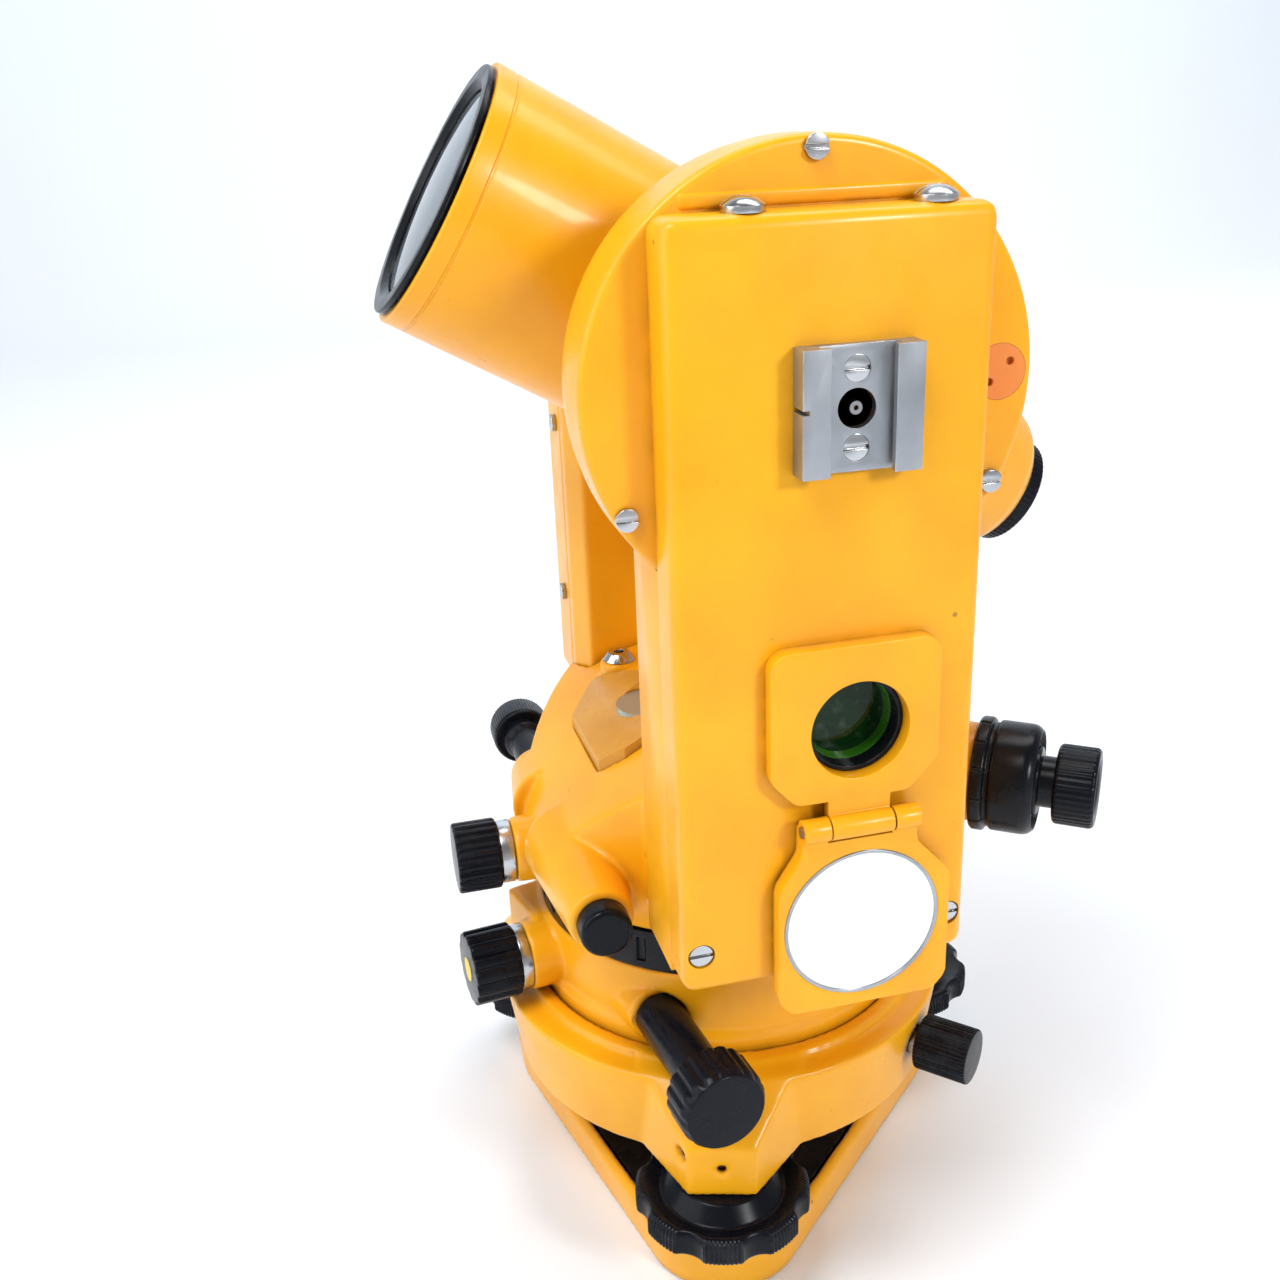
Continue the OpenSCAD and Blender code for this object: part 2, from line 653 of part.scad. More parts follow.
module level_adjust_screw() color(steel) translate([screw_at[0], screw_at[1], screw_z]) difference() {
    union() {
        translate([0, 0, -6]) cylinder(r = 2.5, h = 6, $fn = 32);
        cylinder(r1 = 4.6, r2 = 3, h = 2.2, $fn = 32);
    }
    translate([0, 0, 0.5]) cylinder(r = 1.6, h = 4, $fn = 6);
}

module plummet_tube() color(black) outward(plummet_turn, plummet_z) difference() {
    union() {
        translate([0, 0, 45]) cylinder(r = 9, h = 27);
        translate([0, 0, 71]) cylinder(r = 14.4, h = 3);
        translate([0, 0, 74]) cylinder(r = 13.9, h = 12);
        translate([0, 0, 86]) cylinder(r = 6.4, h = 12);
    }
    translate([0, 0, 84.5]) difference() {
        cylinder(r = 12, h = 5);
        cylinder(r = 8.5, h = 5);
    }
    translate([0, 0, 40]) cylinder(r = 5, h = 70);
}

module plummet_eyepiece() color(black) outward(plummet_turn, plummet_z) {
    translate([0, 0, 90]) tube(10, 6.4 + run, 10);
    translate([0, 0, 98.2]) tube(6.4 + run, 4.2, 1.4);
}

module upper_clamp_collar() color(steel) outward(180, upper_clamp_z)
    translate([0, 0, 57.5]) tube(8.4, 3 + run, 3.6);

module upper_clamp_knob() color(black) outward(180, upper_clamp_z) {
    translate([0, 0, 61.2]) fluted(9.4, 11.6, 24, 1, 0.5);
    translate([0, 0, 47]) cylinder(r = 3, h = 15);
}

module upper_tangent_knob() color(black) {
    ycyl(8.9, 55, 66, drive_x, drive_z);
    ycyl(4.8, 31.2, 55, drive_x, drive_z);
    ycyl(3, 15, 32, drive_x, drive_z);
}

module upper_spring_cap() color(black) {
    ycyl(6.3, -58, -51.6, drive_x, drive_z);
    ycyl(4, -52, -45, drive_x, drive_z);
}

module vertical_clamp_knob() color(black) heading([rear_w, side_knob_y, vertical_clamp_z], 0) {
    translate([0, 0, 4.6]) fluted(9, 13, 24, 1, 0.5);
    translate([0, 0, -5]) cylinder(r = 3, h = 12);
}

module vertical_tangent_knob() color(black) heading([rear_w, side_knob_y, vertical_tangent_z], 0) {
    translate([0, 0, 16]) fluted(9, 12, 24, 1, 0.5);
    translate([0, 0, 4.6]) cylinder(r = 4.6, h = 12);
    translate([0, 0, -5]) cylinder(r = 3, h = 12);
}

module micrometer_knob() color(black) {
    ycyl(12, rear_back + 2.4, rear_back + 13, 12, micrometer_z);
    ycyl(3, rear_back - 8, rear_back + 3, 12, micrometer_z);
}

// ---- telescope ----

module telescope_tube() color(enamel) difference() {
    on_telescope() rotate_extrude($fn = 96) polygon([
        [0, -housing_reach], [15.5, -housing_reach], [18.5, -housing_reach + 3], [24, -75], [28.5, -62],
        [barrel_r, -50], [barrel_r, objective_reach], [27.5, objective_reach], [27.5, objective_reach - 8],
        [25, objective_reach - 10], [25, -48], [9, -70], [0, -70]
    ]);
    on_telescope() translate([0, 0, -housing_reach - 1]) cylinder(r = 7, h = 30);
    ycyl(axle_r, -50, 50, 0, trunnion_h);
}

module objective_bezel() color(black) on_telescope() rotate_extrude($fn = 96) polygon([
    [27.5, objective_reach - 8], [27.5, objective_reach + 0.8], [29.6, objective_reach + 0.8],
    [29.6, objective_reach + 1.8], [25.6, objective_reach + 1.8], [25.2, objective_reach - 8]
]);

module objective_lens() color(glass) on_telescope() translate([0, 0, objective_reach - 9])
    rotate_extrude($fn = 96) polygon([
        [0, -5], [24.9, -5], [24.9, 4], [20, 5.2], [12, 6.2], [6, 6.6], [0, 6.7]
    ]);

module focusing_ring() color(black) on_telescope() translate([0, 0, -housing_reach - 5.4])
    tube(focus_ring_r, 7 + run, 5);

module eyepiece_ring() color(black) on_telescope() translate([0, 0, -housing_reach - 7]) difference() {
    union() {
        cylinder(r = 9, h = 1.5);
        cylinder(r = 7 - run, h = 22);
    }
    translate([0, 0, -1]) cylinder(r = 4, h = 40);
}

module trunnion_axle() color(steel) difference() {
    ycyl(axle_r, -68, 58, 0, trunnion_h);
    ycyl(7.5, -80, 80, 0, trunnion_h);
}

module vertical_circle() color(glass) difference() {
    ycyl(circle_r, -66, -62.5, 0, trunnion_h, 96);
    ycyl(axle_r, -80, -50, 0, trunnion_h);
}

standing() base_plate();
standing() spring_plate();
standing() spring_plate_screws();
standing() tribrach_body();
standing() footscrew_nuts();
standing() arm_grub_screws();
standing() tribrach_clamp_screw();
standing() tribrach_clamp_knob();
standing() footscrew_knob_front();
standing() footscrew_knob_right();
standing() footscrew_knob_left();
standing() footscrew_spindle_front();
standing() footscrew_spindle_right();
standing() footscrew_spindle_left();
standing() lower_collar();
standing() orientation_ring();
standing() horizontal_circle();
standing() lower_clamp_collar();
standing() lower_clamp_knob();
standing() lower_tangent_knob();
standing() lower_spring_cap();
standing() alidade_body();
standing() vertical_axis();
standing() front_standard();
standing() rear_standard();
standing() trunnion_bushes();
standing() front_cover();
standing() front_cover_screws();
standing() top_bolts();
standing() circle_cover();
standing() cover_screws();
standing() rear_cover();
standing() accessory_shoe();
standing() shoe_screws();
standing() shoe_contact();
standing() window_plate();
standing() window_glass();
standing() spanner_plug();
standing() level_bezel();
standing() level_vial();
standing() level_adjust_screw();
standing() plummet_tube();
standing() plummet_eyepiece();
standing() upper_clamp_collar();
standing() upper_clamp_knob();
standing() upper_tangent_knob();
standing() upper_spring_cap();
standing() mirror_lid();
standing() mirror_glass();
standing() lid_hinge_pin();
standing() vertical_clamp_knob();
standing() vertical_tangent_knob();
standing() micrometer_knob();
standing() telescope_tube();
standing() objective_bezel();
standing() objective_lens();
standing() focusing_ring();
standing() eyepiece_ring();
standing() trunnion_axle();
standing() vertical_circle();
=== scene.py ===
import json
import math

import bmesh
import bpy
from mathutils import Matrix, Vector


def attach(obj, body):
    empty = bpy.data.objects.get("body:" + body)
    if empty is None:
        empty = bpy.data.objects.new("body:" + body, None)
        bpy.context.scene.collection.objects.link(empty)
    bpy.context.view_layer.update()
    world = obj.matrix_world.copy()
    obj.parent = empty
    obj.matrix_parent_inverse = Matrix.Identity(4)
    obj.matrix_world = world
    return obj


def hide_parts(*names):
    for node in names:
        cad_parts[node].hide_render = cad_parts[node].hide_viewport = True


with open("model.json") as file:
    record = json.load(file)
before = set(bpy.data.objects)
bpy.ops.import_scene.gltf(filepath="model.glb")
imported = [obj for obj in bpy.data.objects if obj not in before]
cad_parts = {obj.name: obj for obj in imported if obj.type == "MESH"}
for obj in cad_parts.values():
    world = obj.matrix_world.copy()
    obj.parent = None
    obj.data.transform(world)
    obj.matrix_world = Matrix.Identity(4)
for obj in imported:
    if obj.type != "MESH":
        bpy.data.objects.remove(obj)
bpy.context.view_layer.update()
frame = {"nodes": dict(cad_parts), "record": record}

MM = 0.001

# Driving sizes of the instrument, in millimetres, at the heights of its drawing.
DATUM = Vector((0, 0, 12))
TRUNNION_H = 245
ELEVATION = math.radians(30)
BARREL_R = 31
OBJECTIVE = 72
HOUSING = 91.5
BOX_HALF = 33
BOX_LOW = 116.5
BOX_TOP = 279.5
BOX_FRONT = 83.2
DISC_FRONT = 72.6
DISC_R = 47.3
WINDOW = (5.4, 176.5)
WINDOW_R = 10.85
DISC_BACK = 60


# ---- materials ----

class Nodes:
    """Builds a node tree: each call adds a node, sets or links its inputs and returns it."""

    def __init__(self, name):
        self.material = bpy.data.materials.new(name)
        self.material.use_nodes = True
        self.tree = self.material.node_tree
        self.shader = self.tree.nodes["Principled BSDF"]
        self.place = self.add("ShaderNodeTexCoord").outputs["Object"]

    def add(self, kind, settings=None, **inputs):
        node = self.tree.nodes.new(kind)
        for key, value in (settings or {}).items():
            setattr(node, key, value)
        for key, value in inputs.items():
            numbered = key[0] == "i" and key[1:].isdigit()
            self.set(node.inputs[int(key[1:]) if numbered else key], value)
        return node

    def set(self, socket, value):
        if isinstance(value, bpy.types.NodeSocket):
            self.tree.links.new(value, socket)
        else:
            socket.default_value = value

    def noise(self, scale, detail=3, roughness=0.55):
        return self.add("ShaderNodeTexNoise", Vector=self.place, Scale=scale, Detail=detail,
                        Roughness=roughness).outputs["Fac"]

    def span(self, value, low_in, high_in, low_out, high_out):
        node = self.add("ShaderNodeMapRange", Value=value)
        node.inputs["From Min"].default_value = low_in
        node.inputs["From Max"].default_value = high_in
        node.inputs["To Min"].default_value = low_out
        node.inputs["To Max"].default_value = high_out
        return node.outputs["Result"]

    def times(self, a, b):
        return self.add("ShaderNodeMath", {"operation": "MULTIPLY"}, i0=a, i1=b).outputs[0]

    def mix(self, factor, a, b):
        node = self.add("ShaderNodeMix", {"data_type": "RGBA"})
        self.set(node.inputs[0], factor)
        self.set(node.inputs[6], a)
        self.set(node.inputs[7], b)
        return node.outputs[2]

    def edges(self, radius):
        """1 on sharp outer and inner edges, 0 on flat surface."""
        bevel = self.add("ShaderNodeBevel", {"samples": 4}, Radius=radius)
        flat = self.add("ShaderNodeNewGeometry").outputs["Normal"]
        dot = self.add("ShaderNodeVectorMath", {"operation": "DOT_PRODUCT"},
                       i0=bevel.outputs[0], i1=flat)
        return self.span(dot.outputs["Value"], 0.985, 0.90, 0.0, 1.0)

    def corners(self, reach):
        """1 deep in a corner or seam, where shade falls, 0 in the open."""
        shade = self.add("ShaderNodeAmbientOcclusion", {"samples": 6}, Distance=reach)
        return self.span(shade.outputs["AO"], 0.75, 0.25, 0.0, 1.0)


def rgb(r, g, b):
    return (r, g, b, 1.0)


def finish_of(name, colour, deep, rough, metal=0.0, coat=0.0, patch=45, grain=900, bump=0.06,
              shade_and_grime=None, shade_and_grime_amount=0.0, wear=None, wear_amount=0.0, specks=None, gloss=0.5):
    """An opaque finish: patchy colour, fine grain, painted shade and grime in corners, worn edges and a
    few specks.
    """
    n = Nodes(name)
    paint = n.mix(n.span(n.noise(patch, 4), 0.35, 0.7, 0.0, 1.0), rgb(*colour), rgb(*deep))
    if specks:
        dots = n.add("ShaderNodeTexVoronoi", Vector=n.place, Scale=150.0).outputs["Distance"]
        some = n.span(n.noise(70, 1), 0.62, 0.66, 0.0, 1.0)
        speck = n.times(n.times(n.span(dots, 0.10, 0.06, 0.0, 1.0), some), 0.7)
        paint = n.mix(speck, paint, rgb(*specks))
    if wear:
        worn = n.times(n.edges(0.0005), n.span(n.noise(240, 4), 0.45, 0.62, 0.0, wear_amount))
        paint = n.mix(worn, paint, rgb(*wear))
    # Painted shade and grime: ambient occlusion finds corners and seams, which take the corner colour.
    if shade_and_grime:
        patchy = n.span(n.noise(120, 5), 0.3, 0.7, 0.25 * shade_and_grime_amount, shade_and_grime_amount)
        shade_and_grime_mask = n.times(n.corners(0.005), patchy)
        paint = n.mix(shade_and_grime_mask, paint, rgb(*shade_and_grime))
    n.set(n.shader.inputs["Base Color"], paint)
    n.set(n.shader.inputs["Metallic"], metal)
    uneven = n.span(n.noise(patch * 2.3, 5, 0.6), 0.3, 0.7, rough[0], rough[1])
    n.set(n.shader.inputs["Roughness"], uneven)
    n.set(n.shader.inputs["Specular IOR Level"], gloss)
    n.set(n.shader.inputs["Coat Weight"], coat)
    n.set(n.shader.inputs["Coat Roughness"], 0.12)
    relief = n.add("ShaderNodeBump", Strength=bump, Distance=0.00005, Height=n.noise(grain, 3))
    n.set(n.shader.inputs["Normal"], relief.outputs["Normal"])
    return n.material


def glass_of(name, tint, body, inside, shine=1.0):
    """Glass: part transmission and part opaque body, mixed from a tint and a dark inside colour, with
    faint dust.
    """
    n = Nodes(name)
    dust = n.span(n.noise(380, 4), 0.55, 0.75, 0.0, 0.08)
    body_colour = n.mix(body, rgb(*tint), rgb(*inside))
    n.set(n.shader.inputs["Base Color"], n.mix(dust, body_colour, rgb(0.5, 0.5, 0.5)))
    n.set(n.shader.inputs["Transmission Weight"], 1.0 - body)
    n.set(n.shader.inputs["Roughness"], n.span(n.noise(60, 3), 0.3, 0.7, 0.02, 0.05))
    n.set(n.shader.inputs["IOR"], 1.2 + 0.3 * shine)
    n.set(n.shader.inputs["Coat Weight"], shine)
    relief = n.add("ShaderNodeBump", Strength=0.02, Distance=0.00002, Height=n.noise(300, 2))
    n.set(n.shader.inputs["Normal"], relief.outputs["Normal"])
    return n.material


# Corner colours are painted shade mixed with grime; on the black finishes they are a lighter dust.
ENAMEL = finish_of(
    "yellow_enamel", (0.93, 0.43, 0.006), (0.86, 0.37, 0.004), (0.27, 0.4), coat=0.12,
    shade_and_grime=(0.16, 0.06, 0.008), shade_and_grime_amount=0.8, wear=(0.66, 0.42, 0.16), wear_amount=0.25,
    specks=(0.2, 0.09, 0.03), bump=0.1, gloss=0.35)
PLASTIC = finish_of(
    "black_plastic", (0.003, 0.0042, 0.008), (0.005, 0.0065, 0.011), (0.2, 0.34), gloss=0.16,
    shade_and_grime=(0.012, 0.012, 0.012), shade_and_grime_amount=0.4, wear=(0.07, 0.08, 0.1), wear_amount=0.5,
    specks=(0.06, 0.06, 0.06), bump=0.1)
LACQUER = finish_of(
    "black_metal", (0.004, 0.005, 0.008), (0.007, 0.008, 0.011), (0.2, 0.34), gloss=0.2,
    shade_and_grime=(0.012, 0.012, 0.012), shade_and_grime_amount=0.4, wear=(0.14, 0.14, 0.15), wear_amount=0.4)
CHROME = finish_of(
    "bright_chrome", (0.6, 0.61, 0.63), (0.46, 0.47, 0.49), (0.16, 0.3), metal=1.0, grain=1500,
    shade_and_grime=(0.06, 0.045, 0.03), shade_and_grime_amount=0.7, wear=(0.7, 0.69, 0.66), wear_amount=0.4)
STEEL = finish_of(
    "bare_steel", (0.4, 0.4, 0.41), (0.3, 0.3, 0.31), (0.28, 0.42), metal=1.0, grain=1500,
    shade_and_grime=(0.1, 0.075, 0.05), shade_and_grime_amount=0.6, wear=(0.7, 0.7, 0.7), wear_amount=0.4)
SHOE = finish_of(
    "grey_shoe", (0.42, 0.44, 0.47), (0.3, 0.32, 0.35), (0.3, 0.44), metal=0.85,
    shade_and_grime=(0.05, 0.04, 0.03), shade_and_grime_amount=0.6, wear=(0.72, 0.72, 0.71), wear_amount=0.7)
PLUG = finish_of(
    "orange_plug", (0.85, 0.26, 0.04), (0.8, 0.22, 0.03), (0.45, 0.6), shade_and_grime=(0.2, 0.06, 0.02),
    shade_and_grime_amount=0.6, wear=(0.9, 0.5, 0.3), wear_amount=0.4)
VIAL_CASE = finish_of(
    "level_plastic", (0.7, 0.36, 0.045), (0.56, 0.26, 0.03), (0.22, 0.36),
    shade_and_grime=(0.2, 0.09, 0.02), shade_and_grime_amount=0.6, wear=(0.9, 0.62, 0.3), wear_amount=0.5, gloss=0.25)
MIRROR = finish_of(
    "lid_mirror", (0.9, 0.91, 0.92), (0.86, 0.87, 0.88), (0.03, 0.08), metal=1.0,
    shade_and_grime=(0.4, 0.38, 0.34), shade_and_grime_amount=0.4, bump=0.02)
YELLOW_DOT = finish_of(
    "yellow_dot", (0.85, 0.62, 0.06), (0.8, 0.55, 0.05), (0.4, 0.5), shade_and_grime=(0.3, 0.25, 0.1),
    shade_and_grime_amount=0.4)
# Painted green reflection, for the ring next to the window's glass.
PAINTED_GREEN_REFLECTION = finish_of(
    "painted_green_reflection", (0.05, 0.24, 0.01), (0.03, 0.16, 0.008), (0.2, 0.35), coat=0.2,
    shade_and_grime=(0.02, 0.05, 0.01), shade_and_grime_amount=0.5)
# Lens: the blue-grey is a painted reflection, and the mostly opaque near-black body puts the telescope's
# black-painted and shaded inside onto the glass.
LENS = glass_of("optical_glass", (0.7, 0.8, 0.9), body=0.8, inside=(0.022, 0.026, 0.036), shine=0.2)
VIAL = glass_of("level_glass", (0.72, 0.8, 0.68), body=0.6, inside=(0.3, 0.34, 0.27))
# Window glass: the green is its own tint, and the mostly opaque near-black body is painted shade from
# the window's deep inside.
GREEN = glass_of("window_green", (0.01, 0.12, 0.02), body=0.85, inside=(0.002, 0.012, 0.002),
                 shine=0.15)

SLOT_FINISH = {
    "yellow_enamel": ENAMEL, "black_plastic": PLASTIC, "black_metal": LACQUER, "bright_chrome": CHROME,
    "bare_steel": STEEL, "optical_glass": LENS, "window_green": GREEN, "grey_shoe": SHOE,
    "orange_plug": PLUG, "level_plastic": VIAL_CASE, "lid_mirror": MIRROR,
}
slot_of = {part["node"]: part["material_slot"] for part in frame["record"]["subparts"]}
bodies = frame["record"]["behaviour"]["bodies"]
body_of = {node: body for body, nodes in bodies.items() for node in nodes}


def paint(obj, finish):
    obj.data.materials.clear()
    obj.data.materials.append(finish)


for node_name, node in frame["nodes"].items():
    paint(node, VIAL if node_name == "level_vial" else SLOT_FINISH[slot_of[node_name]])


# ---- shape helpers ----

EDGE_ANGLE = math.radians(32)


def add_mesh(name, mesh_builder):
    mesh = bpy.data.meshes.new(name)
    mesh_builder.to_mesh(mesh)
    mesh_builder.free()
    obj = bpy.data.objects.new(name, mesh)
    bpy.context.scene.collection.objects.link(obj)
    return obj


def smooth(obj):
    obj.data.shade_smooth()
    obj.data.set_sharp_from_angle(angle=EDGE_ANGLE)
    return obj


def apply_modifiers(obj):
    graph = bpy.context.evaluated_depsgraph_get()
    mesh = bpy.data.meshes.new_from_object(obj.evaluated_get(graph))
    obj.modifiers.clear()
    obj.data = mesh


def stand_for(obj, node):
    """obj is shown in place of the CAD node, on its body and in its finish."""
    if not obj.data.materials:
        paint(obj, SLOT_FINISH[slot_of[node]])
    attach(obj, body_of[node])
    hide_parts(node)


def copy_of(node, name):
    mesh_builder = bmesh.new()
    mesh_builder.from_mesh(frame["nodes"][node].data)
    bmesh.ops.remove_doubles(mesh_builder, verts=mesh_builder.verts, dist=2e-6)
    return add_mesh(name, mesh_builder)


def eased(node, width):
    """The CAD node with its edges rounded to a width in millimetres."""
    obj = copy_of(node, node + "_eased")
    mesh_builder = bmesh.new()
    mesh_builder.from_mesh(obj.data)
    bmesh.ops.dissolve_limit(mesh_builder, angle_limit=math.radians(0.8), verts=mesh_builder.verts,
                             edges=mesh_builder.edges)
    if node in PLATES:
        corners = [edge for edge in mesh_builder.edges if edge.calc_length() > 3.2 * MM
                   and abs((edge.verts[0].co - edge.verts[1].co).normalized().y) > 0.99
                   and math.radians(20) < edge.calc_face_angle(0) < math.radians(70)]
        bmesh.ops.bevel(mesh_builder, geom=corners, offset=1.5 * MM, segments=4, profile=0.5,
                        affect="EDGES", clamp_overlap=True)
    mesh_builder.to_mesh(obj.data)
    mesh_builder.free()
    round_edges = obj.modifiers.new("round", "BEVEL")
    round_edges.width = width * MM
    round_edges.segments = 3
    round_edges.limit_method = "ANGLE"
    round_edges.angle_limit = EDGE_ANGLE
    apply_modifiers(obj)
    smooth(obj)
    stand_for(obj, node)


def cast(node, voxel, passes):
    """The CAD node as a casting, with every edge and corner softened."""
    obj = copy_of(node, node + "_cast")
    remesh = obj.modifiers.new("remesh", "REMESH")
    remesh.mode = "VOXEL"
    remesh.voxel_size = voxel * MM
    relax = obj.modifiers.new("relax", "SMOOTH")
    relax.factor = 0.5
    relax.iterations = passes
    apply_modifiers(obj)
    obj.data.shade_smooth()
    stand_for(obj, node)


PLATES = ("window_plate", "mirror_lid")
CASTINGS = {
    "tribrach_body": (0.7, 10), "lower_collar": (0.6, 10), "alidade_body": (0.6, 22),
    "rear_standard": (0.6, 12), "rear_cover": (0.6, 10), "base_plate": (0.7, 8),
}
EASED = {
    "front_standard": 0.8, "window_plate": 1.1, "mirror_lid": 0.9, "accessory_shoe": 0.35,
    "orientation_ring": 0.4, "spanner_plug": 0.3,
    "level_bezel": 0.6, "lower_spring_cap": 0.5, "lower_clamp_collar": 0.3,
    "upper_clamp_collar": 0.3, "top_bolts": 0.3, "front_cover_screws": 0.2,
    "cover_screws": 0.2, "shoe_screws": 0.2, "level_adjust_screw": 0.3, "spring_plate": 0.3,
}
for node_name, (voxel, passes) in CASTINGS.items():
    cast(node_name, voxel, passes)
for node_name, width in EASED.items():
    eased(node_name, width)


# ---- turned and milled pieces ----

def corner_arc(before, corner, after, size, steps=5):
    """Points that round one corner of an outline."""
    a, c, b = Vector(before), Vector(corner), Vector(after)
    start = c + (a - c).normalized() * min(size, (a - c).length * 0.48)
    end = c + (b - c).normalized() * min(size, (b - c).length * 0.48)
    return [start.lerp(c, t).lerp(c.lerp(end, t), t) for t in [k / steps for k in range(steps + 1)]]


def rounded_line(points, closed=False):
    """An outline of (u, v) or (u, v, rounding) points, with its corners rounded."""
    line = []
    for i, point in enumerate(points):
        if len(point) > 2 and (closed or 0 < i < len(points) - 1):
            line += corner_arc(points[i - 1][:2], point[:2], points[(i + 1) % len(points)][:2], point[2])
        else:
            line.append(Vector(point[:2]))
    return line


def aim(at, direction, turn=0.0):
    """Puts local +Z, in millimetres, along a direction from a point."""
    lean = Vector(direction).to_track_quat("Z", "Y").to_matrix().to_4x4()
    return (Matrix.Translation((Vector(at) - DATUM) * MM) @ lean
            @ Matrix.Rotation(turn, 4, "Z") @ Matrix.Scale(MM, 4))


def turned(name, profile, place, steps=96, shape=None, closed=False):
    """The profile of (radius, height, rounding) points swept round local +Z."""
    line = rounded_line(profile, closed)
    if closed:
        line.append(line[0])
    solid = bmesh.new()
    rings = []
    for k in range(steps):
        angle = 2 * math.pi * k / steps
        reach = [shape(angle, r, z) if shape else r for r, z in line]
        rings.append([solid.verts.new((r * math.cos(angle), r * math.sin(angle), point[1]))
                      for r, point in zip(reach, line)])
    for k in range(steps):
        a, b = rings[k], rings[(k + 1) % steps]
        for i in range(len(line) - 1):
            solid.faces.new((a[i], b[i], b[i + 1], a[i + 1]))
    bmesh.ops.remove_doubles(solid, verts=solid.verts, dist=1e-4)
    bmesh.ops.recalc_face_normals(solid, faces=solid.faces)
    solid.transform(place)
    return smooth(add_mesh(name, solid))


def ribs(count, depth, edge, full, power=1.0):
    """Grooves round a grip: deepest at the full radius and gone at the edge radius."""
    def shape(angle, r, z):
        if r <= edge:
            return r
        wave = (0.5 + 0.5 * math.cos(count * angle)) ** power
        return r - depth * wave * (r - edge) / (full - edge)
    return shape


def scallops(full, valley_r, depth, count=8, tooth=0.34, edge=18.5):
    """Round valleys between lands with fine teeth, as on a footscrew knob."""
    reach = full + valley_r - depth
    pitch = 2 * math.pi / count

    def shape(angle, r, z):
        if r <= edge:
            return r
        from_valley = (angle % pitch) - pitch / 2
        inside = valley_r ** 2 - (reach * math.sin(from_valley)) ** 2
        valley = reach * math.cos(from_valley) - math.sqrt(inside) if inside > 0 else full
        land = tooth * (0.5 - 0.5 * math.cos(angle * 128)) if valley >= full - 0.1 else 0.0
        drop = max(full - valley, land)
        return r - max(drop, 0.0) * (r - edge) / (full - edge)
    return shape


def cut(obj, *tools):
    for tool in tools:
        step = obj.modifiers.new("cut", "BOOLEAN")
        step.operation = "DIFFERENCE"
        step.solver = "EXACT"
        step.object = tool
        apply_modifiers(obj)
        bpy.data.objects.remove(tool)


def rod(radius, start, end, steps=64):
    """A plain cylinder between two points, used as a cutter."""
    a, b = Vector(start), Vector(end)
    length = (b - a).length
    return turned("rod", [(0, 0), (radius, 0), (radius, length), (0, length)], aim(a, b - a), steps)


def block(name, corner_a, corner_b, rounding, share=None, steps=4):
    """A box with rounded edges. share(middle, run) is the part of the rounding an edge gets."""
    solid = bmesh.new()
    bmesh.ops.create_cube(solid, size=1.0)
    a, b = Vector(corner_a) - DATUM, Vector(corner_b) - DATUM
    for v in solid.verts:
        v.co = Vector(((a[k] + b[k]) / 2 + v.co[k] * (b[k] - a[k])) for k in range(3)) * MM
    weight = solid.edges.layers.float.new("bevel_weight_edge")
    for edge in solid.edges:
        start, end = (v.co / MM for v in edge.verts)
        edge[weight] = share((start + end) / 2, end - start) if share else 1.0
    obj = add_mesh(name, solid)
    step = obj.modifiers.new("round", "BEVEL")
    step.limit_method = "WEIGHT"
    step.width = rounding * MM
    step.segments = steps
    apply_modifiers(obj)
    return smooth(obj)


def along(turn):
    """Horizontal direction at an angle from +X, in degrees."""
    return Vector((math.cos(math.radians(turn)), math.sin(math.radians(turn)), 0))


def grip(low_z, high_z, r, bore, easing=0.9):
    """Profile of a plain knob head, with its inner end open to its shank."""
    return [(bore, low_z), (r, low_z, easing), (r, high_z, easing), (0, high_z)]


def add_on(obj, body, finish):
    """A small extra piece on a body, in place of no CAD node."""
    paint(obj, finish)
    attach(obj, body)


def cover_edges(middle, run):
    """The box is roundest at its four corners, softer round its face and sharp at the back."""
    if abs(run.y) > 1:
        return 1.0
    return 0.8 if middle.y < -DISC_FRONT - 1 else 0.0


# Flat box cover, with the window's bore and the two screw recesses.
box = block("box_cover", (-BOX_HALF, -BOX_FRONT, BOX_LOW), (BOX_HALF, -DISC_FRONT - 0.02, BOX_TOP),
            3.4, cover_edges, 6)
SCREW_X, SCREW_Z = 28.8, 126
window_line = [(WINDOW[0], -BOX_FRONT + y, WINDOW[1]) for y in (-5, 8)]
cut(box, rod(WINDOW_R, *window_line), *[
    rod(3.0, (x, -BOX_FRONT - 5, SCREW_Z), (x, -BOX_FRONT + 1.6, SCREW_Z), 32)
    for x in (-SCREW_X, SCREW_X)])
smooth(box)
stand_for(box, "front_cover")

# Lining of the window's bore: black outside, and next to the glass a green ring that is a painted green
# reflection.
window_in = aim((WINDOW[0], 0, WINDOW[1]), (0, 1, 0))
add_on(turned("window_sleeve", [(9.7, -83.6, 0.3), (10.8, -83.6, 0.3), (10.8, -79.6), (9.7, -79.6)],
              window_in, closed=True), "alidade", LACQUER)
add_on(turned("window_wall", [(9.5, -79.6), (10.8, -79.6), (10.8, -76.9), (9.2, -76.9)],
              window_in, closed=True), "alidade", PAINTED_GREEN_REFLECTION)

